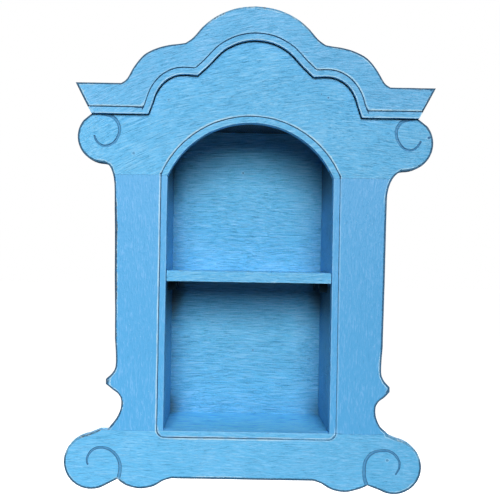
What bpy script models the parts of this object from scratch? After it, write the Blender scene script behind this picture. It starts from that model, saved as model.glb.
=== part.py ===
"""Open wall cupboard: a carved face frame round an arched niche with one loose shelf.

Metres, +Z up, the front facing -Y. The origin lies on the wall plane, on the centre line of the
niche, half way up the front. Every board is a piece of its own, and pieces that touch keep GAP.
"""
import math

import bmesh
import bpy
from mathutils import Vector

# Fits
GAP = 0.0003  # between pieces that touch, and round everything that sits in a hole
OVERSHOOT = 0.002  # how far a cutter reaches past the surface that it opens
SHELF_CLEARANCE = 0.0012  # at each end of the loose shelf

# Opening of the niche
OPENING_WIDTH = 0.308
OPENING_SIDE_HEIGHT = 0.4733  # from the sill to the springs of the arch
ARCH_RISE = 0.100
SILL_DROP = 0.337  # sill below the origin
REBATE_WIDTH = 0.0125  # flat step round the opening and along the cornice
REBATE_DEPTH = 0.0022
REBATE_CORNER = 0.014  # where the router turned at the bottom corners

# Face frame
BOARD_THICKNESS = 0.020
STILE_WIDTH = 0.0950
RAIL_HEIGHT = 0.0875  # from the sill to the straight lower edge
NECK_DROP = 0.041  # below the springs, where the scroll's neck has run out into the stile
BEAK_REACH = 0.0125
BEAK_HEIGHT = 0.009
BEAK_RISE = 0.0820  # above the sill
HAND_SKEW = 0.0030  # how much fuller and lower the right-hand outline was sawn than the left-hand one
CREST_OFFSET = 0.0062  # the crest and its cornice sit a little right of the centre line
RAIL_OFFSET = -0.006  # and the rail a little left of it

# Scrolls, from the stile's outer edge and from the springs or the sill
UPPER_SCROLL_RADIUS = 0.0500
UPPER_SCROLL_OUT = 0.0300
UPPER_SCROLL_RISE = 0.0680
LOWER_SCROLL_RADIUS = 0.0506
LOWER_SCROLL_OUT = 0.0312
LOWER_SCROLL_DROP = 0.0592
RAIL_SHOULDER = 0.0170  # how far the rail's top corner stands out past the stile
GROOVE_WIDTH = 0.0056  # where it starts
GROOVE_TAIL_WIDTH = 0.0020
GROOVE_DEPTH = 0.0018

# Cornice
CORNICE_THICKNESS = 0.011
CORNICE_RISE = 0.1114  # from the springs to the lower edge of its arms
CORNICE_ARM_HEIGHT = 0.0553
CORNICE_TIP_OUT = 0.0819  # tip past the stile's outer edge
CORNICE_END_SLOPE = 0.0290  # how far the end is cut back on its way down
HUMP_HEIGHT = 0.1448  # of the middle above the arms
HUMP_HALF_WIDTH = 0.1972  # of its lower edge
HUMP_LEAN = -0.0024  # of its top edge's crown, to the left
CREST_INSET = 0.005  # the crest stops this far inside the cornice's upper edge

# Scroll of the crest: where it comes out from behind the cornice, and its neck's two pulls
SCROLL_CROWN_ANGLE = 38  # degrees above the level through its centre
SCROLL_CROWN_OUT = 0.010  # hidden corner past the centre
SCROLL_CROWN_PULL = (0.022, 0.002)  # past the centre, and above the cornice's lower edge
NECK_PULL_IN = 0.017
NECK_PULL_UP = 0.034

# How far the sawn outline wanders outwards from the straight edge of each stile, by side
LEFT_HEAD_WANDER = 0.0022
RIGHT_HEAD_WANDER = 0.0036
LEFT_WAIST_WANDER = -0.0030
RIGHT_WAIST_WANDER = 0.0010
RIGHT_BEAK_WANDER = 0.0025
LEFT_FOOT_WANDER = -0.0010
RIGHT_FOOT_WANDER = 0.0050
HEAD_WANDER = {-1: LEFT_HEAD_WANDER, 1: RIGHT_HEAD_WANDER}  # where the neck ends
WAIST_WANDER = {-1: LEFT_WAIST_WANDER, 1: RIGHT_WAIST_WANDER}  # above the beak
BEAK_WANDER = {-1: 0.0, 1: RIGHT_BEAK_WANDER}
FOOT_WANDER = {-1: LEFT_FOOT_WANDER, 1: RIGHT_FOOT_WANDER}  # below the beak

# Curves drawn by hand, as (out, up) from the corner that each one names
BEAK_UPPER_LINE = ((0.0, 0.075), (-0.0025, 0.030), (0.0025, 0.013))  # stile's edge, beak's top
BEAK_LOWER_LINE = (  # stile's edge, beak's foot
    (0.0010, -0.0100),
    (-0.0100, -0.0185),
    (-0.0155, -0.0300),
    (-0.0140, -0.0470),
    (-0.0060, -0.0645),
)
BEAK_FOOT_OUT = 0.0095  # where that line meets the sill
LEFT_LOWER_NOTCH = (-0.0487, -0.0313)
RIGHT_LOWER_NOTCH = (-0.0477, -0.0358)
LOWER_NOTCH = {-1: LEFT_LOWER_NOTCH, 1: RIGHT_LOWER_NOTCH}  # from the lower scroll's centre
LOWER_SCROLL_END = -120  # degrees, where the scroll's round runs straight to the notch
LOBE_OUT = -0.0445  # from the lower scroll's centre
LOBE_LINE = (  # where the lobe begins, the straight lower edge
    (-0.0210, -0.0145),
    (-0.0460, -0.0200),
    (-0.0710, -0.0155),
    (-0.0900, -0.0045),
    (-0.1050, 0.0),
)
LEFT_UPPER_GROOVE_LINE = (  # the scroll's eye; each was carved freehand, and begins under the cornice
    (0.0165, 0.0480),
    (0.0104, 0.0437),
    (0.0001, 0.0420),
    (-0.0090, 0.0388),
    (-0.0180, 0.0305),
    (-0.0226, 0.0185),
    (-0.0215, 0.0070),
    (-0.0155, -0.0058),
    (-0.0050, -0.0140),
    (0.0060, -0.0158),
    (0.0155, -0.0112),
    (0.0215, -0.0032),
    (0.0238, 0.0035),
)
RIGHT_UPPER_GROOVE_LINE = (
    (0.0130, 0.0480),
    (0.0060, 0.0437),
    (-0.0050, 0.0410),
    (-0.0150, 0.0368),
    (-0.0212, 0.0280),
    (-0.0236, 0.0180),
    (-0.0222, 0.0080),
    (-0.0170, -0.0025),
    (-0.0090, -0.0110),
    (0.0010, -0.0146),
    (0.0100, -0.0122),
    (0.0175, -0.0055),
    (0.0222, 0.0028),
)
UPPER_GROOVE_LINES = {-1: LEFT_UPPER_GROOVE_LINE, 1: RIGHT_UPPER_GROOVE_LINE}
LEFT_LOWER_GROOVE_LINE = (  # the scroll's eye; each begins in the notch
    (-0.0480, -0.0400),
    (-0.0522, -0.0250),
    (-0.0540, -0.0127),
    (-0.0532, -0.0020),
    (-0.0487, 0.0095),
    (-0.0410, 0.0180),
    (-0.0315, 0.0243),
    (-0.0185, 0.0268),
    (-0.0065, 0.0243),
    (0.0018, 0.0180),
    (0.0066, 0.0095),
    (0.0077, 0.0010),
    (0.0058, -0.0052),
)
RIGHT_LOWER_GROOVE_LINE = (
    (-0.0450, -0.0450),
    (-0.0505, -0.0320),
    (-0.0542, -0.0190),
    (-0.0550, -0.0050),
    (-0.0532, 0.0085),
    (-0.0468, 0.0197),
    (-0.0363, 0.0272),
    (-0.0215, 0.0300),
    (-0.0080, 0.0285),
    (0.0027, 0.0213),
    (0.0095, 0.0110),
    (0.0106, 0.0015),
    (0.0075, -0.0080),
    (0.0033, -0.0138),
)
LOWER_GROOVE_LINES = {-1: LEFT_LOWER_GROOVE_LINE, 1: RIGHT_LOWER_GROOVE_LINE}

# The cornice's two edges: out in metres from the middle or from the hump's end, up in shares of the hump
LOW_EDGE_CROWN = ((0.0, 0.963), (0.0190, 0.949), (0.0390, 0.907), (0.0625, 0.811), (0.0860, 0.642))
LOW_EDGE_SHOULDER = (
    (-0.0900, 0.505),
    (-0.0660, 0.513),
    (-0.0470, 0.492),
    (-0.0280, 0.410),
    (-0.0140, 0.275),
    (-0.0065, 0.125),
    (0.0, 0.0),
)
TOP_EDGE_CROWN = (
    (0.0, 1.0),
    (0.0240, 0.98611),
    (0.0480, 0.945),
    (0.0740, 0.860),
    (0.0965, 0.738),
    (0.1145, 0.595),
)
TOP_EDGE_SHOULDER = (
    (-0.0685, 0.524),
    (-0.0580, 0.511),
    (-0.0370, 0.490),
    (-0.0140, 0.444),
    (0.0080, 0.362),
    (0.0260, 0.215),
    (0.0390, 0.060),
    (0.0500, 0.0),
)

# Box behind the face frame
CARCASS_DEPTH = 0.154
SIDE_THICKNESS = 0.018
TOP_THICKNESS = 0.018
FLOOR_THICKNESS = 0.018
BACK_THICKNESS = 0.009
BACK_LAP = 0.009  # how far the back panel reaches into each side's rebate
HEAD_ROOM = 0.010  # between the arch and the top board

# Shelf and its bearers
SHELF_RISE = 0.2775  # its lower face above the sill
SHELF_THICKNESS = 0.0195
SHELF_SETBACK = 0.003  # its front edge behind the face
SHELF_CORNER = 0.0015
BEARER_WIDTH = 0.014
BEARER_HEIGHT = 0.018
BEARER_SETBACK = 0.060

# Glue blocks
BLOCK_LEG = 0.022
BLOCK_LENGTH = 0.080
BLOCK_END_ROOM = 0.060  # from a side block to the top or floor of the box

# Dowels
DOWEL_RADIUS = 0.004
DOWEL_LENGTH = 0.040
DOWEL_CHAMFER = 0.001
DOWEL_SPACING = 0.044

# Wood screws: box, bearers and cornice, and the smaller ones of the hangers
SCREW_LENGTH = 0.040
SCREW_RADIUS = 0.0019
SCREW_HEAD_RADIUS = 0.0038
BEARER_SCREW_LENGTH = 0.026
CORNICE_SCREW_LENGTH = 0.027
HANGER_SCREW_LENGTH = 0.025
HANGER_SCREW_RADIUS = 0.0015
HANGER_SCREW_HEAD_RADIUS = 0.0028
SCREW_EDGE = 0.035  # from the screws to the front and the back of the box
BEARER_SCREW_INSET = 0.022
CORNICE_SCREW_INSET = 0.099  # from the cornice's tips

# Nails of the back panel
NAIL_LENGTH = 0.024
NAIL_RADIUS = 0.0010
NAIL_HEAD_RADIUS = 0.0022
NAIL_HEAD_HEIGHT = 0.0010
NAIL_MARGIN = 0.050
NAIL_FLOOR_SPACING = 0.160

# Hanger plates
HANGER_SPACING = 0.200
HANGER_WIDTH = 0.030
HANGER_THICKNESS = 0.002
HANGER_LAP = 0.020  # over the box
HANGER_REACH = 0.030  # above the box
HANGER_SCREW_SPACING = 0.016
KEYHOLE_RADIUS = 0.0048
KEYHOLE_SLOT = 0.0045
KEYHOLE_SLOT_LENGTH = 0.009
KEYHOLE_HEIGHT = 0.013  # its round part above the box

# Facets
CHORD_ERROR = 0.0001  # how far an arc's sides may run inside it
CURVE_STEPS = 4  # between two points of a hand-drawn curve
TURNED_SIDES = 8
LOOP_REACH = 16  # points that a loop of a moved curve spans at most

# Places that follow from the sizes
HALF = OPENING_WIDTH / 2
EDGE = HALF + STILE_WIDTH
SILL = -SILL_DROP
SPRING = SILL + OPENING_SIDE_HEIGHT
APEX = SPRING + ARCH_RISE
ARCH_RADIUS = (HALF**2 + ARCH_RISE**2) / (2 * ARCH_RISE)
ARCH_CENTRE = APEX - ARCH_RADIUS
FRAME_BACK = -CARCASS_DEPTH - GAP
FACE = FRAME_BACK - BOARD_THICKNESS
CORNICE_LOW = SPRING + CORNICE_RISE
CORNICE_ARM_TOP = CORNICE_LOW + CORNICE_ARM_HEIGHT
TOP_UNDERSIDE = APEX + HEAD_ROOM
BOX_TOP = TOP_UNDERSIDE + TOP_THICKNESS
BOX_FOOT = SILL - FLOOR_THICKNESS
BACK_FRONT = -BACK_THICKNESS - GAP
SHELF_FOOT = SILL + SHELF_RISE
BEARER_TOP = SHELF_FOOT - GAP

SIDES = {"left": -1, "right": 1}

# name: (colour, roughness, metallic)
FINISHES = {
    "blue_paint": ((0.155, 0.445, 0.800, 1), 0.50, 0.0),
    "bare_wood": ((0.46, 0.31, 0.18, 1), 0.75, 0.0),
    "steel": ((0.45, 0.45, 0.46, 1), 0.40, 1.0),
}


# Scene and materials


def clear_scene():
    for obj in list(bpy.data.objects):
        bpy.data.objects.remove(obj)


def finish(part, kind):
    """A material of the part's own."""
    colour, roughness, metallic = FINISHES[kind]
    material = bpy.data.materials.new(f"{part}_{kind}")
    material.use_nodes = True
    shader = material.node_tree.nodes["Principled BSDF"]
    shader.inputs["Base Color"].default_value = colour
    shader.inputs["Roughness"].default_value = roughness
    shader.inputs["Metallic"].default_value = metallic
    material.diffuse_color = colour
    return material


def add_object(name, mesh_data, kind):
    obj = bpy.data.objects.new(name, mesh_data)
    bpy.context.scene.collection.objects.link(obj)
    if kind:
        mesh_data.materials.append(finish(name, kind))
    else:
        obj.hide_render = True
        obj.display_type = "WIRE"
    return obj


# Curves in the plane of the front, as lists of (across, up)


def arc(centre, radius, start, end):
    """Points from one angle to another, in degrees, anticlockwise where end is larger."""
    side = math.degrees(2 * math.acos(1 - CHORD_ERROR / radius))
    steps = max(2, math.ceil(abs(end - start) / side))
    angles = [math.radians(start + (end - start) * i / steps) for i in range(steps + 1)]
    return [
        (centre[0] + radius * math.cos(a), centre[1] + radius * math.sin(a)) for a in angles
    ]


def drawn(points):
    """A curve drawn by hand through the points."""
    ends = [points[0], *points, points[-1]]
    curve = []
    for before, a, b, after in zip(ends, ends[1:], ends[2:], ends[3:]):
        for i in range(CURVE_STEPS):
            t = i / CURVE_STEPS
            curve.append(
                tuple(
                    0.5
                    * (
                        2 * a[k]
                        + (b[k] - before[k]) * t
                        + (2 * before[k] - 5 * a[k] + 4 * b[k] - after[k]) * t**2
                        + (3 * a[k] - before[k] - 3 * b[k] + after[k]) * t**3
                    )
                    for k in range(2)
                )
            )
    return curve + [points[-1]]


def blend_curve(start, first, second, end, steps=8):
    """A curve that leaves start towards first and arrives at end from second."""
    curve = []
    for i in range(steps + 1):
        t = i / steps
        weights = ((1 - t) ** 3, 3 * t * (1 - t) ** 2, 3 * t**2 * (1 - t), t**3)
        corners = (start, first, second, end)
        curve.append(tuple(sum(w * c[k] for w, c in zip(weights, corners)) for k in range(2)))
    return curve


def crossing(a, b, c, d):
    """Where the line from a to b crosses the one from c to d, or None."""
    across = (b[0] - a[0]) * (d[1] - c[1]) - (b[1] - a[1]) * (d[0] - c[0])
    if abs(across) < 1e-12:
        return None
    t = ((c[0] - a[0]) * (d[1] - c[1]) - (c[1] - a[1]) * (d[0] - c[0])) / across
    s = ((c[0] - a[0]) * (b[1] - a[1]) - (c[1] - a[1]) * (b[0] - a[0])) / across
    if not (0 <= t <= 1 and 0 <= s <= 1):
        return None
    return a[0] + t * (b[0] - a[0]), a[1] + t * (b[1] - a[1])


def beside(points, distance):
    """The open curve moved sideways, to the left of its direction, without the loops of tight bends."""
    normals = []
    for a, b in zip(points, points[1:]):
        length = math.dist(a, b)
        normals.append(((a[1] - b[1]) / length, (b[0] - a[0]) / length))
    moved = []
    for i, (u, z) in enumerate(points):
        first = normals[max(i - 1, 0)]
        second = normals[min(i, len(normals) - 1)]
        share = distance / (1 + first[0] * second[0] + first[1] * second[1])
        moved.append((u + share * (first[0] + second[0]), z + share * (first[1] + second[1])))
    i = 0
    while i < len(moved) - 3:
        for j in range(min(i + LOOP_REACH, len(moved) - 2), i + 1, -1):
            meet = crossing(moved[i], moved[i + 1], moved[j], moved[j + 1])
            if meet:
                moved[i + 1 : j + 1] = [meet]
                break
        i += 1
    return moved


def split_at(points, height):
    """The parts of a falling curve above and below a height, both ending on it."""
    for i, (a, b) in enumerate(zip(points, points[1:])):
        if a[1] >= height > b[1]:
            share = (a[1] - height) / (a[1] - b[1])
            cut = (a[0] + share * (b[0] - a[0]), height)
            return [*points[: i + 1], cut], [cut, *points[i + 1 :]]
    raise ValueError(f"the curve doesn't cross {height}")


def joined(*curves):
    """One curve through all, with points that fall together kept once."""
    points = []
    for point in [p for curve in curves for p in curve]:
        if not points or math.dist(points[-1], point) > 1e-5:
            points.append(point)
    return points


def halves(left, right, offset=0.0):
    """Both halves of an edge, each given from the middle out, with the middle moved sideways."""
    return joined([(offset - u, z) for u, z in reversed(left)], [(offset + u, z) for u, z in right])


def mirrored(points, offset=0.0):
    """Both halves of a symmetric curve: the given right half, from the middle out, and the left one."""
    return halves(points, points, offset)


# Solids


def slab(name, outline, near, far, kind=None, axis="Y"):
    """The outline drawn in the plane across the axis and carried from near to far along it."""

    def place(a, b, depth):
        return {"X": (depth, a, b), "Y": (a, depth, b), "Z": (a, b, depth)}[axis]

    shape = bmesh.new()
    base = [shape.verts.new(place(a, b, near)) for a, b in outline]
    face = shape.faces.new(base)
    carried = bmesh.ops.extrude_face_region(shape, geom=[face])["geom"]
    step = Vector(place(0, 0, far - near))
    bmesh.ops.translate(shape, verts=[v for v in carried if isinstance(v, bmesh.types.BMVert)], vec=step)
    bmesh.ops.recalc_face_normals(shape, faces=shape.faces)
    mesh_data = bpy.data.meshes.new(name)
    shape.to_mesh(mesh_data)
    shape.free()
    return add_object(name, mesh_data, kind)


def rectangle(low_a, high_a, low_b, high_b):
    return [(low_a, low_b), (high_a, low_b), (high_a, high_b), (low_a, high_b)]


def turned(name, profile, place, towards, kind=None):
    """A turned piece: (radius, distance) pairs along its axis, which starts at place."""
    shape = bmesh.new()
    rings = []
    for radius, along in profile:
        count = TURNED_SIDES if radius else 1
        turn = 2 * math.pi / TURNED_SIDES
        rings.append(
            [
                shape.verts.new((radius * math.cos(i * turn), radius * math.sin(i * turn), along))
                for i in range(count)
            ]
        )
    for low, high in zip(rings, rings[1:]):
        for i in range(TURNED_SIDES):
            j = (i + 1) % TURNED_SIDES
            corners = [low[i % len(low)], low[j % len(low)], high[j % len(high)], high[i % len(high)]]
            shape.faces.new(list(dict.fromkeys(corners)))
    bmesh.ops.recalc_face_normals(shape, faces=shape.faces)
    mesh_data = bpy.data.meshes.new(name)
    shape.to_mesh(mesh_data)
    shape.free()
    mesh_data.shade_smooth()
    mesh_data.set_sharp_from_angle(angle=math.radians(40))
    obj = add_object(name, mesh_data, kind)
    obj.location = place
    obj.rotation_euler = Vector(towards).to_track_quat("Z", "Y").to_euler()
    return obj


def cut(obj, cutter):
    modifier = obj.modifiers.new(cutter.name, "BOOLEAN")
    modifier.operation = "DIFFERENCE"
    modifier.solver = "EXACT"
    modifier.object = cutter


# Outline of the front, one side at a time: side is -1 or 1, and across runs outwards from the middle


def to_world(points, side):
    return [(side * u, z) for u, z in points]


def placed(line, across, up):
    """A hand-drawn line moved to its corner."""
    return [(across + u, up + z) for u, z in line]


def upper_scroll_run(side):
    """From behind the cornice down round the scroll and its neck to where the stile runs straight."""
    across = EDGE + UPPER_SCROLL_OUT + side * CREST_OFFSET
    centre = (across, SPRING + UPPER_SCROLL_RISE - side * HAND_SKEW / 2)
    radius = UPPER_SCROLL_RADIUS + side * HAND_SKEW / 2
    shoulder = arc(centre, radius, SCROLL_CROWN_ANGLE, -90)
    hidden = (centre[0] + SCROLL_CROWN_OUT, CORNICE_ARM_TOP - CREST_INSET)
    tucked = (centre[0] + SCROLL_CROWN_OUT, CORNICE_LOW + SCROLL_CROWN_OUT)
    pull = (centre[0] + SCROLL_CROWN_PULL[0], CORNICE_LOW + SCROLL_CROWN_PULL[1])
    crown = blend_curve(tucked, pull, shoulder[0], shoulder[0], 4)
    bottom = shoulder[-1]
    foot = (EDGE + HEAD_WANDER[side], SPRING - NECK_DROP)
    pulls = (bottom[0] - NECK_PULL_IN, bottom[1]), (foot[0], foot[1] + NECK_PULL_UP)
    neck = blend_curve(bottom, *pulls, foot)
    return joined([hidden], crown, shoulder, neck)


def beak_run(side):
    """From the straight part of the stile past the beak to the sill."""
    edge = EDGE + FOOT_WANDER[side]
    tip = EDGE + BEAK_REACH + BEAK_WANDER[side]
    low = SILL + BEAK_RISE - side * HAND_SKEW
    top = low + BEAK_HEIGHT
    above = placed(BEAK_UPPER_LINE, EDGE + WAIST_WANDER[side], top)
    below = placed(BEAK_LOWER_LINE, edge, low)
    return joined(drawn([*above, (tip, top)]), drawn([(tip, low), *below, (edge + BEAK_FOOT_OUT, SILL)]))


def lower_scroll_run(side):
    """From the rail's top corner round the scroll and the small lobe to the straight lower edge."""
    centre = (EDGE + LOWER_SCROLL_OUT, SILL - LOWER_SCROLL_DROP)
    straight = SILL - RAIL_HEIGHT
    corner = (EDGE + RAIL_SHOULDER, SILL - GAP / 2)
    scroll = arc(centre, LOWER_SCROLL_RADIUS, 82, LOWER_SCROLL_END)
    notch = (centre[0] + LOWER_NOTCH[side][0], centre[1] + LOWER_NOTCH[side][1])
    lobe = drawn([notch, *placed(LOBE_LINE, centre[0] + LOBE_OUT, straight)])
    return joined([corner], scroll, [notch], lobe)


# Cornice


def hump_lean(points, level):
    """Both halves of an edge, with the hump's crown leaning over to its side."""
    return [(u + HUMP_LEAN * max(0.0, z - level) / HUMP_HEIGHT, z) for u, z in points]


def hump_run(crown, shoulder, level):
    """One edge of the hump's right half above a level, from the middle out to where the arm begins."""
    inner = [(u, level + HUMP_HEIGHT * share) for u, share in crown]
    outer = [(HUMP_HALF_WIDTH + u, level + HUMP_HEIGHT * share) for u, share in shoulder]
    return joined(drawn([*inner, outer[0]]), drawn(outer))


def cornice_low_run():
    """Lower edge of the cornice's right half, from the middle out to its end."""
    end = EDGE + CORNICE_TIP_OUT - CORNICE_END_SLOPE
    return joined(hump_run(LOW_EDGE_CROWN, LOW_EDGE_SHOULDER, CORNICE_LOW), [(end, CORNICE_LOW)])


def cornice_top_run():
    """Upper edge of the cornice's right half, from the middle out to its tip."""
    top = CORNICE_ARM_TOP
    return joined(hump_run(TOP_EDGE_CROWN, TOP_EDGE_SHOULDER, top), [(EDGE + CORNICE_TIP_OUT, top)])


# Opening


def arch_run(extra=0.0):
    """The arch from its right spring to its left one, or a line outside it."""
    half = HALF + extra
    radius = ARCH_RADIUS + extra
    start = math.degrees(math.asin(math.sqrt(1 - (half / radius) ** 2)))
    return arc((0, ARCH_CENTRE), radius, start, 180 - start)


def rebate_outline():
    """The opening widened by the step, with the router's round corners at the foot."""
    half = HALF + REBATE_WIDTH
    foot = SILL - REBATE_WIDTH
    r = REBATE_CORNER
    return joined(
        arch_run(REBATE_WIDTH),
        arc((r - half, foot + r), r, 180, 270),
        arc((half - r, foot + r), r, 270, 360),
    )


# Face frame


def crest_board(rebate):
    right = to_world(split_at(upper_scroll_run(1), SPRING + GAP / 2)[0], 1)
    left = to_world(split_at(upper_scroll_run(-1), SPRING + GAP / 2)[0], -1)
    top = beside(cornice_top_run(), -CREST_INSET)
    reach = EDGE + UPPER_SCROLL_OUT
    top = hump_lean(mirrored([p for p in top if p[0] < reach], CREST_OFFSET), CORNICE_ARM_TOP)
    arch = [p for p in arch_run() if p[1] > SPRING + GAP]
    springs = [(-HALF, SPRING + GAP / 2), (HALF, SPRING + GAP / 2)]
    outline = joined(left[::-1], top, right, [springs[1]], arch, [springs[0]])
    board = slab("crest_board", outline, FACE, FRAME_BACK, "blue_paint")
    cut(board, rebate)
    return board


def stile(name, side, rebate):
    neck = split_at(split_at(upper_scroll_run(side), SPRING + GAP / 2)[1], SPRING - GAP / 2)[1]
    beak = split_at(beak_run(side), SILL + GAP / 2)[0]
    inner = [(HALF, SILL + GAP / 2), (HALF, SPRING - GAP / 2)]
    outline = to_world(joined(neck, beak, inner), side)
    board = slab(name, outline, FACE, FRAME_BACK, "blue_paint")
    cut(board, rebate)
    return board


def bottom_rail(rebate):
    outline = halves(lower_scroll_run(-1)[::-1], lower_scroll_run(1)[::-1], RAIL_OFFSET)
    board = slab("bottom_rail", outline, FACE, FRAME_BACK, "blue_paint")
    cut(board, rebate)
    return board


def groove(board, name, centre_line):
    """A flat-bottomed groove cut along a line on the front, narrowing towards its tail."""
    near = []
    far = []
    steps = len(centre_line) - 1
    for i, middle in enumerate(centre_line):
        half = (GROOVE_WIDTH + (GROOVE_TAIL_WIDTH - GROOVE_WIDTH) * i / steps) / 2
        back, ahead = centre_line[max(i - 1, 0)], centre_line[min(i + 1, steps)]
        length = math.dist(back, ahead)
        across = ((back[1] - ahead[1]) / length, (ahead[0] - back[0]) / length)
        near.append((middle[0] + half * across[0], middle[1] + half * across[1]))
        far.append((middle[0] - half * across[0], middle[1] - half * across[1]))
    outline = joined(near, far[::-1])
    cut(board, slab(name, outline, FACE - OVERSHOOT, FACE + GROOVE_DEPTH))


def upper_groove_line(side):
    """From under the cornice, inwards, down and round below the scroll's eye."""
    u = EDGE + UPPER_SCROLL_OUT + side * 2 * CREST_OFFSET
    return to_world(drawn(placed(UPPER_GROOVE_LINES[side], u, SPRING + UPPER_SCROLL_RISE)), side)


def lower_groove_line(side):
    """From the notch in the lower edge up, over and down inside the scroll."""
    u = EDGE + LOWER_SCROLL_OUT + side * RAIL_OFFSET
    return to_world(drawn(placed(LOWER_GROOVE_LINES[side], u, SILL - LOWER_SCROLL_DROP)), side)


def cornice_board():
    low = mirrored(cornice_low_run(), CREST_OFFSET)
    step = beside(low, REBATE_WIDTH)
    top = hump_lean(mirrored(cornice_top_run(), CREST_OFFSET), CORNICE_ARM_TOP)
    front = FACE - GAP - CORNICE_THICKNESS
    board = slab("cornice_board", joined(low, top[::-1]), front, FACE - GAP, "blue_paint")
    reach = HUMP_HEIGHT / 2
    below = [(step[-1][0] + reach, step[-1][1]), (low[-1][0] + reach, CORNICE_LOW - reach)]
    below += [(low[0][0] - reach, CORNICE_LOW - reach), (step[0][0] - reach, step[0][1])]
    cut(board, slab("cornice_rebate", joined(step, below), front - OVERSHOOT, front + REBATE_DEPTH))
    return board


# Box


def side_board(name, side):
    inner = HALF
    outer = HALF + SIDE_THICKNESS
    outline = [
        (side * inner, -CARCASS_DEPTH),
        (side * outer, -CARCASS_DEPTH),
        (side * outer, 0),
        (side * (inner + BACK_LAP), 0),
        (side * (inner + BACK_LAP), BACK_FRONT),
        (side * inner, BACK_FRONT),
    ]
    return slab(name, outline, BOX_FOOT, BOX_TOP, "blue_paint", "Z")


def cross_board(name, low, high):
    outline = rectangle(GAP - HALF, HALF - GAP, -CARCASS_DEPTH, BACK_FRONT)
    return slab(name, outline, low, high, "blue_paint", "Z")


def back_panel():
    reach = HALF + BACK_LAP - GAP
    outline = rectangle(-reach, reach, BOX_FOOT, BOX_TOP)
    return slab("back_panel", outline, -BACK_THICKNESS, 0, "blue_paint")


def shelf():
    """The loose shelf, its origin in its middle, on the line that it slides along."""
    r = SHELF_CORNER
    across = HALF - SHELF_CLEARANCE - r
    up = SHELF_THICKNESS / 2 - r
    corners = ((across, up, 0), (-across, up, 90), (-across, -up, 180), (across, -up, 270))
    outline = joined(*(arc((u, z), r, turn, turn + 90) for u, z, turn in corners))
    front = FACE + SHELF_SETBACK
    rear = BACK_FRONT - GAP
    board = slab("shelf", outline, (front - rear) / 2, (rear - front) / 2, "blue_paint")
    board.location = (0, (front + rear) / 2, SHELF_FOOT + SHELF_THICKNESS / 2)
    return board


def bearer(name, side):
    near = side * (HALF - GAP)
    far = side * (HALF - GAP - BEARER_WIDTH)
    outline = rectangle(min(near, far), max(near, far), BEARER_TOP - BEARER_HEIGHT, BEARER_TOP)
    return slab(name, outline, FACE + BEARER_SETBACK, BACK_FRONT - GAP, "blue_paint")


# Glue blocks


def side_block(name, side, middle):
    near = HALF + SIDE_THICKNESS + GAP
    back = FRAME_BACK + GAP
    outline = [
        (side * near, back),
        (side * (near + BLOCK_LEG), back),
        (side * near, back + BLOCK_LEG),
    ]
    ends = (middle - BLOCK_LENGTH / 2, middle + BLOCK_LENGTH / 2)
    return slab(name, outline, *ends, "bare_wood", "Z")


def cross_block(name, level, up):
    back = FRAME_BACK + GAP
    outline = [(back, level), (back, level + up * BLOCK_LEG), (back + BLOCK_LEG, level)]
    return slab(name, outline, -BLOCK_LENGTH / 2, BLOCK_LENGTH / 2, "bare_wood", "X")


def glue_blocks():
    reach = BLOCK_END_ROOM + BLOCK_LENGTH / 2
    for word, side in SIDES.items():
        side_block(f"glue_block_{word}_upper", side, BOX_TOP - reach)
        side_block(f"glue_block_{word}_lower", side, BOX_FOOT + reach)
    cross_block("glue_block_top", BOX_TOP + GAP, 1)
    cross_block("glue_block_bottom", BOX_FOOT - GAP, -1)


# Fasteners


def drilled(name, profile, hole, place, towards, kind, boards):
    """A turned fastener, and its hole in each board that it passes."""
    turned(name, profile, place, towards, kind)
    cutter = turned(f"{name}_hole", hole, place, towards)
    for board in boards:
        cut(board, cutter)


def dowel(name, place, boards):
    r = DOWEL_RADIUS
    half = DOWEL_LENGTH / 2
    c = DOWEL_CHAMFER
    profile = [(0, -half), (r - c, -half), (r, c - half), (r, half - c), (r - c, half), (0, half)]
    reach = half + GAP
    hole = [(0, -reach), (r + GAP, -reach), (r + GAP, reach), (0, reach)]
    drilled(name, profile, hole, place, (0, 0, 1), "bare_wood", boards)


def frame_dowels(crest, stiles, rail):
    middle = (FACE + FRAME_BACK) / 2
    for word, side in SIDES.items():
        for level, board, end in ((SPRING, crest, "top"), (SILL, rail, "bottom")):
            for spot, shift in (("inner", -1), ("outer", 1)):
                across = side * (HALF + STILE_WIDTH / 2 + shift * DOWEL_SPACING / 2)
                place = (across, middle, level)
                dowel(f"dowel_{word}_{end}_{spot}", place, (board, stiles[word]))


def screw(name, place, towards, boards, length=SCREW_LENGTH, radius=SCREW_RADIUS, head=SCREW_HEAD_RADIUS):
    """A countersunk wood screw, its head flush with the surface at place."""
    sunk = head - radius
    point = length - 2 * radius
    profile = [(0, 0), (head, 0), (radius, sunk), (radius, point), (0, length)]
    wide = radius + GAP
    hole = [(0, -OVERSHOOT), (head + GAP, -OVERSHOOT), (head + GAP, 0), (wide, sunk), (wide, point)]
    hole.append((0, length + 2 * GAP))
    drilled(name, profile, hole, place, towards, "steel", boards)


def box_screws(sides, top, floor):
    rows = (("top", BOX_TOP - TOP_THICKNESS / 2, top), ("floor", BOX_FOOT + FLOOR_THICKNESS / 2, floor))
    for word, side in SIDES.items():
        for level_name, level, board in rows:
            for end, depth in (("front", SCREW_EDGE - CARCASS_DEPTH), ("rear", -SCREW_EDGE)):
                place = (side * (HALF + SIDE_THICKNESS), depth, level)
                name = f"screw_{word}_{level_name}_{end}"
                screw(name, place, (-side, 0, 0), (sides[word], board))


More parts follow.
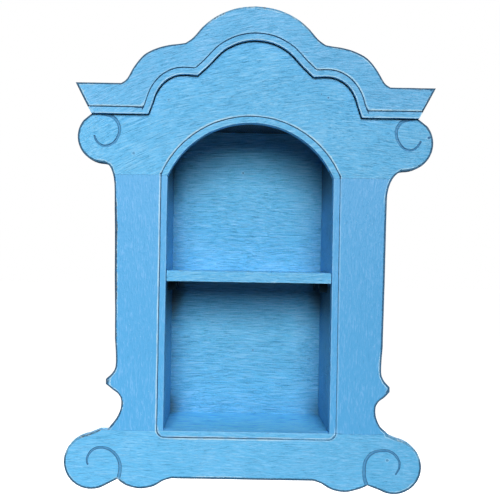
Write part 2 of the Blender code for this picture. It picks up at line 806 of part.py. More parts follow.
def bearer_screws(sides, bearers):
    front = FACE + BEARER_SETBACK + BEARER_SCREW_INSET
    rear = BACK_FRONT - GAP - BEARER_SCREW_INSET
    level = BEARER_TOP - BEARER_HEIGHT / 2
    for word, side in SIDES.items():
        for end, depth in (("front", front), ("rear", rear)):
            place = (side * (HALF - GAP - BEARER_WIDTH), depth, level)
            boards = (bearers[word], sides[word])
            screw(f"screw_{word}_bearer_{end}", place, (side, 0, 0), boards, BEARER_SCREW_LENGTH)


def cornice_screws(crest, cornice):
    level = CORNICE_LOW + CORNICE_ARM_HEIGHT / 2
    middle = level + HUMP_HEIGHT
    reach = EDGE + CORNICE_TIP_OUT - CORNICE_SCREW_INSET
    places = (("left", -reach, level), ("right", reach, level))
    for word, across, up in (*places, ("middle", 0.0, middle)):
        place = (CREST_OFFSET + across, FRAME_BACK, up)
        screw(f"screw_cornice_{word}", place, (0, -1, 0), (crest, cornice), CORNICE_SCREW_LENGTH)


def nail(name, place, boards):
    """A flat-headed nail driven forward from behind, its head flush."""
    r = NAIL_RADIUS
    head = NAIL_HEAD_RADIUS
    h = NAIL_HEAD_HEIGHT
    point = NAIL_LENGTH - 2 * r
    profile = [(0, 0), (head, 0), (head, h), (r, h), (r, point), (0, NAIL_LENGTH)]
    wide = r + GAP
    seat = h + GAP
    hole = [(0, -OVERSHOOT), (head + GAP, -OVERSHOOT), (head + GAP, seat), (wide, seat)]
    hole += [(wide, point), (0, NAIL_LENGTH + 2 * GAP)]
    drilled(name, profile, hole, place, (0, -1, 0), "steel", boards)


def back_nails(back, sides, floor):
    middle = (BOX_TOP + BOX_FOOT) / 2
    levels = (("upper", BOX_TOP - NAIL_MARGIN), ("middle", middle), ("lower", BOX_FOOT + NAIL_MARGIN))
    for word, side in SIDES.items():
        for spot, level in levels:
            place = (side * (HALF + BACK_LAP / 2), 0, level)
            nail(f"nail_{word}_{spot}", place, (back, sides[word]))
        place = (side * NAIL_FLOOR_SPACING / 2, 0, BOX_FOOT + FLOOR_THICKNESS / 2)
        nail(f"nail_floor_{word}", place, (back, floor))


# Hangers


def hanger(word, side, back, top):
    """A keyhole plate let into the back panel and standing up above the box."""
    middle = side * HANGER_SPACING / 2
    half = HANGER_WIDTH / 2
    low = BOX_TOP - HANGER_LAP
    crown = arc((middle, BOX_TOP + HANGER_REACH - half), half, 0, 180)
    outline = joined([(middle - half, low), (middle + half, low)], crown)
    plate = slab(f"hanger_{word}", outline, -HANGER_THICKNESS, 0, "steel")
    seat = rectangle(middle - half - GAP, middle + half + GAP, low - GAP, BOX_TOP + OVERSHOOT)
    cut(back, slab(f"hanger_{word}_seat", seat, -HANGER_THICKNESS - GAP, OVERSHOOT))
    eye = (middle, BOX_TOP + KEYHOLE_HEIGHT)
    slot = KEYHOLE_SLOT / 2
    turn = math.degrees(math.asin(slot / KEYHOLE_RADIUS))
    round_part = arc(eye, KEYHOLE_RADIUS, 90 + turn, 450 - turn)
    slot_end = arc((middle, eye[1] + KEYHOLE_SLOT_LENGTH), slot, 0, 180)
    keyhole = joined(round_part, slot_end)
    cut(plate, slab(f"hanger_{word}_keyhole", keyhole, -HANGER_THICKNESS - OVERSHOOT, OVERSHOOT))
    for spot, shift in (("inner", -side), ("outer", side)):
        across = middle + shift * HANGER_SCREW_SPACING / 2
        screw(
            f"screw_hanger_{word}_{spot}",
            (across, 0, BOX_TOP - TOP_THICKNESS / 2),
            (0, -1, 0),
            (plate, back, top),
            HANGER_SCREW_LENGTH,
            HANGER_SCREW_RADIUS,
            HANGER_SCREW_HEAD_RADIUS,
        )


def main():
    clear_scene()
    rebate = slab("opening_rebate", rebate_outline(), FACE - OVERSHOOT, FACE + REBATE_DEPTH)
    crest = crest_board(rebate)
    stiles = {word: stile(f"{word}_stile", side, rebate) for word, side in SIDES.items()}
    rail = bottom_rail(rebate)
    for word, side in SIDES.items():
        groove(crest, f"upper_groove_{word}", upper_groove_line(side))
        groove(rail, f"lower_groove_{word}", lower_groove_line(side))
    cornice = cornice_board()
    sides = {word: side_board(f"{word}_side", side) for word, side in SIDES.items()}
    top = cross_board("top_board", TOP_UNDERSIDE, BOX_TOP)
    floor = cross_board("floor_board", BOX_FOOT, SILL)
    back = back_panel()
    shelf()
    bearers = {word: bearer(f"{word}_bearer", side) for word, side in SIDES.items()}
    glue_blocks()
    frame_dowels(crest, stiles, rail)
    box_screws(sides, top, floor)
    bearer_screws(sides, bearers)
    cornice_screws(crest, cornice)
    back_nails(back, sides, floor)
    for word, side in SIDES.items():
        hanger(word, side, back, top)


main()
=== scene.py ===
"""Dresses the wall cupboard's solids: brushed blue paint worn at the edges and with shade and highlights
painted into it, bare pine behind, grey steel.

Metres, +Z up, the front facing -Y, the wall plane at Y = 0. Each board takes its shape from the
cupboard's own solid, and gets eased edges, a hand-worked surface and a finish of its own.
"""

import math
from typing import NamedTuple

import bmesh
import bpy
import numpy as np
from bpy.props import FloatProperty, FloatVectorProperty, PointerProperty
from bpy.types import Operator, Panel, PropertyGroup
from mathutils import Euler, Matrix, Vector, noise


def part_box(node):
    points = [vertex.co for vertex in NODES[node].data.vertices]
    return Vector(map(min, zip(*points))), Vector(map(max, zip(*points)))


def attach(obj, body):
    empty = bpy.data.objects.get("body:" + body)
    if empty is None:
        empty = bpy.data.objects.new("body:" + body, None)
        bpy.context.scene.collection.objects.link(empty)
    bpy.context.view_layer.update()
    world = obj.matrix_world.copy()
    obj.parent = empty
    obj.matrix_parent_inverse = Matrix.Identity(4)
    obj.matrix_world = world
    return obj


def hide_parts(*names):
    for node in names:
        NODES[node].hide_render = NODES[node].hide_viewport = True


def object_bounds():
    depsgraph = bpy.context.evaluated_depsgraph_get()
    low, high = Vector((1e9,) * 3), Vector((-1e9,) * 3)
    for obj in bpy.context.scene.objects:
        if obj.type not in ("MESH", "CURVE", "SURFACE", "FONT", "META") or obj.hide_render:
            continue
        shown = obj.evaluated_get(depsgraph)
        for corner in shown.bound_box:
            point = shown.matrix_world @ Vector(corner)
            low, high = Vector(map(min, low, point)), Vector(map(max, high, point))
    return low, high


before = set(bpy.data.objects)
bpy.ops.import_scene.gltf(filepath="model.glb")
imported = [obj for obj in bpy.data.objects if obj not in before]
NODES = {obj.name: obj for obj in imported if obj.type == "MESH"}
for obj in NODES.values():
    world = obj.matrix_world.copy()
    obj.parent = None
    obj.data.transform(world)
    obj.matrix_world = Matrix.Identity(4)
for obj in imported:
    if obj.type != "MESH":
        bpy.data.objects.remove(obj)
CAD_BOX = [list(corner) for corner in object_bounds()]

bl_info = {
    "name": "Wall cupboard",
    "version": (1, 0, 0),
    "blender": (4, 5, 0),
    "location": "3D View > Sidebar > Cupboard",
    "description": "Builds the dressed wall cupboard and its stage round the packed solids",
    "category": "Object",
}

CARCASS = "cupboard"
SIDES = ("left", "right")
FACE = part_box("left_stile")[0].y
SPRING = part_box("left_stile")[1].z
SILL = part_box("left_stile")[0].z
FRAME_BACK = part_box("left_stile")[1].y
STILE_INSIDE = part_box("left_stile")[1].x
BOX_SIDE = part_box("left_side")[0].x
BOX_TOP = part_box("top_board")[1].z
BOX_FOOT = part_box("floor_board")[0].z
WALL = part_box("right_side")[0].x
SHELF_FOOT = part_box("shelf")[0].z
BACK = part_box("back_panel")[0].y
ARCH_TOP = SPRING + 0.100
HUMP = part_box("crest_board")[1].z - 0.045

# The work on the boards, in metres and degrees
SHARP = (24, 170)  # turns of an edge that a plane or a saw leaves
FITTING_SHARP = 30
SMOOTH_BELOW = 38
FLAT_BELOW = 0.6
MERGED = 2e-6
ON_PLANE = 2e-5  # a cut passes through a point that lies this near to it
JOINT_REACH = 0.0006
SAW_SEED = 1  # without a seed the noise of the hand-worked surfaces starts from the clock
SCORE_REACH = 0.0040  # from the cornice's edge to the second cut under it
STEP_BAND = 0.0130  # a little more than the width of the routed step
FAR = 0.012  # gaps are measured up to here
KEPT = 0.0011  # more paint is kept on an edge by this much than on a step

# The brush: how its strokes wander, and how much of their ridges is broad
WANDER = 0.014
WANDER_SCALE = 7.0
BROAD_SHARE = 0.18
TURNED_AWAY = (-0.80, -0.55)  # Y of the normal where a face no longer looks forward
# Colour of the painted glints on the brush strokes
GLINT = (0.50, 0.86, 1.0)
TOP_LIGHT = (1.30, 1.32, 1.34)  # painted light: a face that looks up is this much paler, as though lit from above

# Dents in the paint: place, radius, and how dark the painted shade in them is
CREST_DENTS = (
    (0.1414, FACE, 0.2846, 0.0022, 0.8),
    (0.1284, FACE, 0.2914, 0.0014, 0.6),
    (-0.2172, FACE, 0.176, 0.0030, 0.5),
    (-0.1540, FACE, 0.2755, 0.0024, 0.35),
    (0.3286, FACE, 0.2135, 0.0034, 0.9),
)
RAIL_DENTS = ((0.2619, FACE, -0.3844, 0.0030, 0.5),)
BACK_DENTS = (
    (-0.0109, BACK, 0.1634, 0.0024, 0.7),
    (0.0164, BACK, -0.2052, 0.0020, 0.6),
)
# Places where an edge is rubbed more, or less: x, z, reach and strength
STILE_CHIPS = tuple((-0.2505, z, 0.020, 1.2) for z in (0.075, 0.045, 0.015, -0.015, -0.045, -0.075))
SIDE_RUB = ((0, 0, 9, -0.7),)
SHELF_RUB = ((0, SHELF_FOOT, 9, -0.6),)
# Painted shade on the side walls, by height
WALL_SHADE = (
    (-0.306, 0.43), (-0.257, 0.33), (-0.198, 0.30), (-0.140, 0.50), (-0.100, 0.74), (-0.062, 0.80),
    (-0.058, 0.30), (-0.026, 0.26), (0.000, 0.36), (0.060, 0.38), (0.078, 0.42), (0.096, 0.54),
    (0.115, 0.64), (0.135, 0.72), (0.150, 0.78),
)


class Coat(NamedTuple):
    """How the paint lies on one board."""

    along: str = "X"  # the way the brush went
    seed: float = 0.0
    # The tint below is partly the board's own tone and partly painted light: boards that the light reaches
    # more are made paler
    tint_and_light: tuple = (1, 1, 1)
    stroke: float = 1.0  # height of the strokes, as a share of the paint's relief
    run: float = 1.0  # their length, as a share
    girth: float = 1.0  # their width, as a share
    bold: float = 1.0  # contrast of their colours, partly painted shade and light on the strokes' relief
    sweep: tuple = (0, 0)  # their rise at the middle, and how much it grows per metre to the right
    dents: tuple = ()
    sheen: float = 0.35
    lip_highlight: float = 0.25  # strength of the painted highlight on the inner edge: the opening's, and the cornice's lower one


STILE = Coat("Z", 7.0, (0.85, 0.94, 1.02), 0.4, 0.5, 2.2, 0.8)
SIDE = Coat("Z", 21.0, stroke=0.6)
BEARER = Coat("Y", 37.0, sheen=0.05)
COATS = {
    "cornice": Coat("X", 13.0, (1.31, 1.18, 1.16), 0.70, bold=1.5, sweep=(0.20, -1.0), lip_highlight=0.9),
    "crest": Coat("X", 1.0, (1.26, 1.22, 1.20), 0.75, bold=1.6, sweep=(0.18, -1.0), dents=CREST_DENTS),
    "left_stile": STILE,
    "right_stile": STILE._replace(seed=8.0),
    "rail": Coat("X", 9.0, (1.14, 1.17, 1.16), 0.75, bold=1.2, dents=RAIL_DENTS),
    "left_side": SIDE,
    "right_side": SIDE._replace(seed=22.0),
    "back": Coat("X", 23.0, (1.15, 1.17, 1.08), 0.90, 1.6, bold=1.7, dents=BACK_DENTS),
    "top": Coat("X", 27.0),
    "floor": Coat("X", 29.0, (1.05, 1.18, 1.08), 0.5, 1.0, 2.4, 2.0, sheen=0.6),
    "shelf": Coat("X", 31.0, (1.24, 1.22, 1.22), 0.85, bold=1.6),
    "left_bearer": BEARER,
    "right_bearer": BEARER,
}


# Settings


def length(name, default, description):
    return FloatProperty(name=name, description=description, default=default, unit="LENGTH", precision=4)


def share(name, default, description):
    return FloatProperty(name=name, description=description, default=default, subtype="FACTOR", min=0, max=1)


def shade(name, default, description):
    return FloatVectorProperty(
        name=name, description=description, default=default, subtype="COLOR", size=3, min=0, max=1
    )


def plain(name, default, description):
    return FloatProperty(name=name, description=description, default=default)


def angle(name, default, description):
    return FloatProperty(name=name, description=description, default=default, subtype="ANGLE")


class PaintSettings(PropertyGroup):
    colour: shade("Paint", (0.112, 0.455, 0.790), "Colour of the top coat")
    # The strokes' colours: darker in their hollows and lighter on their ridges, partly painted shade and
    # light on their relief
    deep: shade("Deep paint", (0.060, 0.295, 0.550), "Colour of the coat in its hollows")
    pale: shade("Pale paint", (0.200, 0.530, 0.870), "Colour on the ridges of the strokes")
    # The undercoat's colour also paints the highlights on the step, at the sill, on the inner edges and just
    # inside the dark rim
    primer_and_highlight: shade("Primer", (0.48, 0.79, 1.0), "White undercoat that shows where the paint is rubbed")
    wood: shade("Worn wood", (0.100, 0.085, 0.075), "Wood at the rubbed edges")
    # Partly painted shade: the dark rim along the outer edges and on faces that turn away from the front
    slate: shade("Slate", (0.028, 0.078, 0.145), "Dark older coat on the boards' outer edges")
    # The carved lines' colour also paints the shade in the dents, and half of the dark in the inner corners
    hollow: shade("Carved lines", (0.022, 0.125, 0.300), "Paint left thick in the carved lines")
    # Painted shade: colour of the lighter shade in the niche
    mid_shade: shade("Dulled paint", (0.012, 0.155, 0.380), "Colour of the coat where little dirt lies on it")
    # Painted shade: colour of the deepest shade in the niche, of the shadow under the cornice and of the
    # faces inside the box
    dirt: shade("Dirt", (0.013, 0.036, 0.058), "What has settled in the corners")
    stroke_length: length("Stroke length", 0.028, "Length of a brush stroke")
    stroke_width: length("Stroke width", 0.0011, "Width of a bristle's ridge")
    relief: length("Relief", 0.0028, "Height of the brush strokes")
    roughness: share("Roughness", 0.42, "Of the paint")
    wear: length("Wear", 0.0014, "How far from an edge the paint is rubbed")
    # Width of the dark line in the inner corners, partly painted shade, and of the painted shadow under the
    # cornice
    shade_and_grime: length("Soil", 0.0014, "Width of the dark line in a corner")
    # Painted light: the coat is made darker to the right and upwards, as the light falls off
    light_falloff_across: plain("Fade across", -0.30, "Change of the coat's tone per metre to the right")
    light_falloff_up: plain("Fade up", -0.12, "Change of the coat's tone per metre upwards")


class WoodSettings(PropertyGroup):
    light: shade("Early wood", (0.50, 0.335, 0.185), "Light part of the grain")
    dark: shade("Late wood", (0.27, 0.150, 0.070), "Dark part of the grain")
    ring: length("Ring width", 0.0055, "Distance between two lines of the grain")
    roughness: share("Roughness", 0.78, "Of the planed wood")


class SteelSettings(PropertyGroup):
    colour: shade("Steel", (0.46, 0.46, 0.47), "Colour of the zinc coat")
    rust: shade("Rust", (0.19, 0.085, 0.035), "Colour of the spots")
    roughness: share("Roughness", 0.38, "Of the steel")


class WorkSettings(PropertyGroup):
    ease: length("Eased edge", 0.0009, "Radius of the boards' inner edges")
    round: length("Rounded edge", 0.0022, "Radius of the face frame's outer edges")
    # Width of the dark rim along the outer edges, which is partly painted shade
    rim: length("Rim", 0.0034, "How far in from the outer edges the old coat shows")
    cell: length("Cell", 0.0120, "Size of the cells that a board's surface is divided into")
    band: length("Edge band", 0.0018, "Width of the narrow cells along an edge")
    wobble: length("Saw wobble", 0.00035, "How far the sawn outline wanders")
    hollow: length("Hollow", 0.00035, "How uneven the planed surface is")


class StageSettings(PropertyGroup):
    distance: length("Camera distance", 1.300, "From the camera to the front")
    across: length("Camera across", -0.041, "Camera's place to the right of the middle")
    height: length("Camera height", -0.020, "Camera's place above the middle")
    frame_width: length("Frame width", 0.925, "Width of the picture at the front")
    roll: angle("Roll", 0.01745, "Turn of the camera about its axis")
    shift_across: plain("Shift across", 0.0020, "Picture moved sideways, as a share of its width")
    shift_up: plain("Shift up", -0.0010, "Picture moved up, as a share of its width")
    floor_drop: length("Floor", 0.70, "Floor below the foot of the cupboard")
    key: plain("Key", 1.06, "Strength of the key light")
    low: plain("Low", 0.32, "Strength of the light below the front")
    rear: plain("Rear", 0.55, "Strength of the lights behind")
    fill: plain("Fill", 0.02, "Strength of the light from all round")


class CupboardSettings(PropertyGroup):
    paint: PointerProperty(type=PaintSettings)
    wood: PointerProperty(type=WoodSettings)
    steel: PointerProperty(type=SteelSettings)
    work: PointerProperty(type=WorkSettings)
    stage: PointerProperty(type=StageSettings)


def settings():
    return bpy.context.scene.cupboard


# Shader trees


class Tree:
    """A material's or world's nodes, each made with its values and links in one call."""

    def __init__(self, owner):
        owner.use_nodes = True
        self.tree = owner.node_tree
        self.tree.nodes.clear()

    def add(self, kind, values=None, out=0, **options):
        node = self.tree.nodes.new("ShaderNode" + kind)
        for key, value in options.items():
            setattr(node, key, value)
        for key, value in (values or {}).items():
            socket = node.inputs[key]
            if isinstance(value, bpy.types.NodeSocket):
                self.tree.links.new(value, socket)
            else:
                socket.default_value = value
        return node.outputs[out] if node.outputs else node

    def parts(self, vector):
        """The vector's x, y and z."""
        node = self.tree.nodes.new("ShaderNodeSeparateXYZ")
        self.tree.links.new(vector, node.inputs[0])
        return list(node.outputs)

    def rays(self):
        """The kinds of ray, by name."""
        return self.tree.nodes.new("ShaderNodeLightPath").outputs

    def math(self, operation, a, b=0.0, c=0.0, clamp=False):
        return self.add("Math", {0: a, 1: b, 2: c}, operation=operation, use_clamp=clamp)

    def product(self, first, *others):
        for other in others:
            first = self.math("MULTIPLY", first, other)
        return first

    def most(self, first, *others):
        for other in others:
            first = self.math("MAXIMUM", first, other)
        return first

    def scale_add(self, a, scale, b):
        """b, with a times scale added."""
        return self.math("MULTIPLY_ADD", a, scale, b)

    def centred(self, value):
        """A value from 0 to 1, moved to lie round 0."""
        return self.math("SUBTRACT", value, 0.5)

    def step(self, value, low, high, to_low=0.0, to_high=1.0):
        values = {"Value": value, "From Min": low, "From Max": high, "To Min": to_low, "To Max": to_high}
        return self.add("MapRange", values, interpolation_type="SMOOTHSTEP")

    def fall(self, value, low, high):
        return self.step(value, low, high, 1.0, 0.0)

    def mix(self, factor, a, b, blend="MIX"):
        node = self.tree.nodes.new("ShaderNodeMix")
        node.data_type = "RGBA"
        node.blend_type = blend
        for key, value in ((0, factor), (6, a), (7, b)):
            if isinstance(value, bpy.types.NodeSocket):
                self.tree.links.new(value, node.inputs[key])
            elif key:
                node.inputs[key].default_value = (*value, 1)
            else:
                node.inputs[key].default_value = value
        return node.outputs[2]

    def noise(self, vector, scale, detail=2.0, rough=0.5, out=0):
        values = {"Vector": vector, "Scale": scale, "Detail": detail, "Roughness": rough}
        return self.add("TexNoise", values, out)

    def moved(self, vector, offset, scale=(1, 1, 1)):
        return self.add("Mapping", {"Vector": vector, "Location": offset, "Scale": scale})

    def attribute(self, name):
        return self.add("Attribute", out=2, attribute_name=name)

    def surface(self, colour, rough, height, relief, strength=1.0, gloss=0.5, metal=0.0):
        """The last nodes of a finish: relief is how far its height stands out, in metres."""
        values = {"Base Color": colour, "Roughness": rough, "Specular IOR Level": gloss, "Metallic": metal}
        values["Normal"] = self.add("Bump", {"Strength": strength, "Distance": relief, "Height": height})
        self.add("OutputMaterial", {"Surface": self.add("BsdfPrincipled", values)})


def times(colour, factor):
    return tuple(factor * c for c in colour)


def stroke_vector(tree, place, along, reach, width, seed, sweep=(0, 0)):
    """Coordinates that run slowly along a board and fast across it, wandering as a hand does.

    sweep is the rise of the strokes at the middle, and how much it grows per metre to the right.
    """
    if any(sweep):
        x, y, z = tree.parts(place)
        rise = tree.product(x, tree.scale_add(x, sweep[1] / 2, sweep[0]))
        place = tree.add("CombineXYZ", {0: x, 1: y, 2: tree.math("SUBTRACT", z, rise)})
    drift = tree.noise(place, WANDER_SCALE, 0.0, out=1)
    centred = tree.add("VectorMath", {0: drift, 1: (0.5, 0.5, 0.5)}, operation="SUBTRACT")
    sway = tree.add("VectorMath", {0: centred, 3: WANDER}, operation="SCALE")
    bent = tree.add("VectorMath", {0: place, 1: sway}, operation="ADD")
    scale = [1 / width] * 3
    scale["XYZ".index(along)] = 1 / reach
    return tree.moved(bent, (seed, seed * 0.7, seed * 1.3), scale)


class Paint(Tree):
    """Brushed satin paint, rubbed through to the undercoat and wood where the mesh says how near an edge is,
    with shade and highlights painted into it.

    The gaps that the mesh holds are in millimetres.
    """

    def __init__(self, owner, coat):
        super().__init__(owner)
        self.s, self.coat = settings().paint, coat
        self.place = self.add("TexCoord", out=3)
        self.turn = self.parts(self.add("NewGeometry", out=3))
        self.patchy = self.noise(self.moved(self.place, (coat.seed, coat.seed, coat.seed)), 30.0, 2.0, 0.6)
        self.ragged = self.noise(self.place, 360.0, 3.0, 0.7)
        self.fray = self.centred(self.noise(self.place, 230.0, 2.0, 0.6))

    def cloud(self, row, scale, detail=2.0, rough=0.5):
        """Slow change over the board, different for each row."""
        return self.noise(self.moved(self.place, (self.coat.seed, row, self.coat.seed)), scale, detail, rough)

    def frayed(self, name, amount):
        """The mesh's gap of that name, uneven by up to half of amount either way."""
        return self.scale_add(self.fray, amount, self.attribute(name))

    def streaks(self, longer, wider, row, detail):
        """Noise drawn out along the strokes, so many times longer and wider than they are."""
        s, coat = self.s, self.coat
        reach, width = s.stroke_length * coat.run * longer, s.stroke_width * coat.girth * wider
        vector = stroke_vector(self, self.place, coat.along, reach, width, coat.seed + row, coat.sweep)
        return self.noise(vector, 1.0, detail, 0.6)

    def strokes(self):
        """The brush's fine ridges, the level that picks the colour, and the height."""
        fine = self.streaks(1.0, 1.0, 0.0, 2.0)
        broad = self.streaks(2.2, 2.4, 5.0, 1.0)
        daub = self.streaks(0.6, 1.6, 9.0, 1.0)
        ridge = self.scale_add(broad, BROAD_SHARE, self.product(fine, 1 - BROAD_SHARE))
        speck = self.noise(self.place, 330.0, 2.0, 0.65)
        height = self.scale_add(speck, 0.24, ridge)
        height = self.scale_add(self.step(daub, 0.60, 0.72), 0.16, height)
        level = self.scale_add(self.centred(self.cloud(0, 13.0, 3.0, 0.6)), 0.20, ridge)
        level = self.scale_add(self.centred(speck), 0.25 * self.coat.stroke, level)
        return fine, self.scale_add(self.centred(level), self.coat.bold, 0.5), height

    def top_coat(self, level):
        """Deep between the ridges and pale on them, partly painted shade and light on the strokes' relief,
        with a few painted glints, a painted fall of light to the right and upwards, and painted light on
        faces that look up.
        """
        s = self.s
        deep, middle, pale = (
            tuple(min(1.0, t * c) for t, c in zip(self.coat.tint_and_light, colour))
            for colour in (s.deep, s.colour, s.pale)
        )
        # Darker in the hollows, lighter on the ridges: partly painted shade and light on the relief
        colour = self.mix(self.step(level, 0.22, 0.41), deep, middle)
        colour = self.mix(self.step(level, 0.49, 0.66), colour, pale)
        # A few painted glints on the strokes
        glint = self.step(self.noise(self.place, 430.0, 1.0), 0.69, 0.75)
        glint = self.product(glint, self.step(self.cloud(1, 10.0), 0.50, 0.62), 0.55)
        colour = self.mix(glint, colour, GLINT)
        # Painted fall of light: darker to the right and upwards
        across, _, up = self.parts(self.place)
        tone = self.scale_add(up, s.light_falloff_up, self.scale_add(across, s.light_falloff_across, 1.0))
        colour = self.add("HueSaturation", {"Value": tone, "Color": colour})
        top_lit = self.mix(1.0, colour, TOP_LIGHT, "MULTIPLY")
        return self.mix(self.step(self.turn[2], 0.5, 0.9), colour, top_lit)

    def dark_rims(self):
        """The dark rim along the outer edges, partly a darker coat and partly painted shade where the edges
        round off and turn away from the front, and a painted highlight just inside it.
        """
        width = settings().work.rim * 1000
        gap = self.frayed("rim_gap", 1.8)
        rim = self.product(self.fall(gap, width - 0.7, width + 0.7), 0.90)
        turned = self.product(self.attribute("old"), self.step(self.turn[1], *TURNED_AWAY))
        inside = self.product(self.step(gap, width, width + 0.6), self.fall(gap, width + 1.1, width + 1.9))
        spells = self.step(self.cloud(3, 11.0, 1.0), 0.50, 0.60)
        inside = self.product(inside, spells, self.step(self.ragged, 0.35, 0.50))
        return self.product(self.most(turned, rim), self.attribute("coat")), inside

    def rubbed_edges(self):
        """Bare wood at the edges, and the undercoat round it."""
        wear = self.s.wear * 1000
        worn = self.step(self.patchy, 0.35, 0.72, 0.35 * wear, 1.10 * wear)
        worn = self.scale_add(self.attribute("rub"), wear, worn)
        depth = self.math("SUBTRACT", worn, self.attribute("edge_gap"))
        depth = self.scale_add(self.centred(self.ragged), 2.4, depth)
        flecks = self.step(self.noise(self.place, 110.0, 2.0, 0.6), 0.46, 0.58)
        primed = self.product(self.step(depth, -0.75, -0.35), flecks)
        return self.product(self.step(depth, 0.15, 0.55), 0.8), primed

    def wear_and_highlight_lines(self):
        """White on the routed step's raised edge, worn undercoat with a painted highlight that is stronger on
        the left; painted highlights beside the step's foot at the sill and on the inner edges.
        """
        edge = self.fall(self.frayed("step_gap", 0.9), 2.2, 3.0)
        edge = self.product(edge, self.step(self.patchy, 0.38, 0.54, 0.50, 1.0), self.attribute("step_wear_and_light"))
        gap = self.frayed("foot_gap", 0.7)
        foot = self.product(self.step(gap, 1.4, 1.8), self.fall(gap, 3.2, 3.9), self.attribute("sunk"))
        foot = self.product(foot, self.step(self.patchy, 0.30, 0.58, 0.10, 0.90))
        lip_highlight = self.fall(self.frayed("lip_gap", 0.9), 1.3, 2.2)
        lip_highlight = self.product(lip_highlight, self.step(self.patchy, 0.34, 0.56, 0.4 * self.coat.lip_highlight, self.coat.lip_highlight))
        return self.most(edge, foot, self.product(lip_highlight, self.fall(self.turn[1], *TURNED_AWAY)))

    def dark_lines(self):
        """Dark in the inner corners, partly dust and partly painted shade; thick paint in carved lines; and a
        painted shadow under another board's edge.
        """
        shade_and_grime = self.s.shade_and_grime * 1000
        crease_grime_and_shade = self.fall(self.frayed("crease_gap", 0.8), shade_and_grime * 0.8, shade_and_grime * 1.5)
        crease_grime_and_shade = self.product(crease_grime_and_shade, self.step(self.patchy, 0.25, 0.60, 0.80, 1.0))
        carved = self.product(self.fall(self.attribute("groove_gap"), 0.2, 1.3), 0.80)
        carved = self.most(carved, self.product(self.attribute("carved"), 0.50))
        return crease_grime_and_shade, carved, self.fall(self.attribute("contact_gap"), shade_and_grime * 0.9, shade_and_grime * 1.9)

    def dented(self, colour):
        """Each dent is painted darker, as painted shade in a hollow that the mesh does not have, and a ring
        of undercoat shows round it.
        """
        for x, y, z, size, dark in self.coat.dents:
            off = self.add("VectorMath", {0: self.place, 1: (x, y, z)}, 1, operation="DISTANCE")
            off = self.scale_add(self.fray, size, off)
            ring = self.product(self.step(off, size * 0.8, size), self.fall(off, size, size * 1.5), 0.4)
            colour = self.mix(self.step(off, size * 0.5, size, dark, 0.0), colour, self.s.hollow)
            colour = self.mix(ring, colour, self.s.primer_and_highlight)
        return colour


def paint_material(word):
    """The paint of one board, from its top coat down to the shade painted on it."""
    material = bpy.data.materials.new("paint_" + word)
    coat = COATS[word]
    paint = Paint(material, coat)
    s = paint.s
    fine, level, height = paint.strokes()
    old, inside = paint.dark_rims()
    bare, primed = paint.rubbed_edges()
    crease_grime_and_shade, carved, cornice_shadow = paint.dark_lines()

    colour = paint.dented(paint.mix(carved, paint.top_coat(level), s.hollow))
    # White lines: worn undercoat on the step's edge, and painted highlights on it, at the sill and on the
    # inner edges
    colour = paint.mix(paint.wear_and_highlight_lines(), colour, s.primer_and_highlight)
    # Dark in the inner corners and joints: partly dirt, partly painted shade in the step's crease
    colour = paint.mix(crease_grime_and_shade, colour, tuple((a + b) / 2 for a, b in zip(s.slate, s.hollow)))
    # Painted shadow under the cornice's lower edge
    colour = paint.mix(cornice_shadow, colour, times(s.dirt, 0.4))
    # Undercoat where the paint is rubbed, and a painted highlight just inside the dark rim
    colour = paint.mix(paint.most(primed, inside), colour, s.primer_and_highlight)
    wood = paint.mix(paint.step(paint.ragged, 0.35, 0.65), times(s.wood, 0.4), s.wood)
    colour = paint.mix(bare, colour, wood)
    # Dark rim on the outer edges, partly painted shade where the edges turn away from the front
    slate = paint.mix(paint.step(paint.ragged, 0.40, 0.62), s.slate, times(s.slate, 1.6))
    colour = paint.mix(old, colour, slate)
    # Painted shade in the niche's corners, under the shelf and the arch, and on undersides
    painted_shade = paint.attribute("painted_shade")
    shade_and_grime = paint.mix(paint.step(painted_shade, 0.36, 0.75), s.mid_shade, s.dirt)
    colour = paint.mix(paint.step(painted_shade, 0.0, 1.0), colour, shade_and_grime)

    dull = paint.most(crease_grime_and_shade, cornice_shadow, bare, old)
    rough = paint.scale_add(paint.centred(fine), 0.25, s.roughness)
    rough = paint.math("MULTIPLY_ADD", dull, 0.3, rough, clamp=True)
    gloss = paint.scale_add(dull, -0.9 * coat.sheen, coat.sheen)
    height = paint.scale_add(bare, -0.30, height)
    paint.surface(colour, rough, height, s.relief * coat.stroke, gloss=gloss)
    return material


def wood_material(name, along="X", seed=0.0):
    """Planed pine with a wandering grain along the board and a few pale streaks."""
    s = settings().wood
    material = bpy.data.materials.new(name)
    tree = Tree(material)
    place = tree.add("TexCoord", out=3)
    rings = tree.noise(stroke_vector(tree, place, along, 0.35, s.ring, seed), 1.0, 1.5)
    fibre = tree.noise(stroke_vector(tree, place, along, 0.040, 0.0009, seed + 3), 1.0)
    cloud = tree.noise(place, 14.0)
    late = tree.step(tree.math("PINGPONG", tree.product(rings, 4.0), 0.5), 0.30, 0.48)
    colour = tree.mix(late, s.light, s.dark)
    colour = tree.mix(tree.step(cloud, 0.35, 0.70, 0.0, 0.35), colour, times(s.light, 0.7))
    colour = tree.mix(tree.step(fibre, 0.40, 0.75, 0.0, 0.25), colour, s.dark)
    height = tree.scale_add(fibre, 0.6, tree.product(late, 0.4))
    rough = tree.scale_add(fibre, 0.15, s.roughness - 0.08)
    tree.surface(colour, rough, height, 0.0005, strength=0.8, gloss=0.25)
    return material


def shade_material(name):
    """Painted shade: wood made nearly black for the hidden faces inside the box."""
    s = settings()
    material = bpy.data.materials.new(name)
    tree = Tree(material)
    cloud = tree.noise(tree.add("TexCoord", out=3), 24.0, 3.0, 0.6)
    colour = tree.mix(cloud, s.paint.dirt, times(s.wood.light, 0.12))
    tree.surface(colour, 0.85, cloud, 0.0005, strength=0.5)
    return material


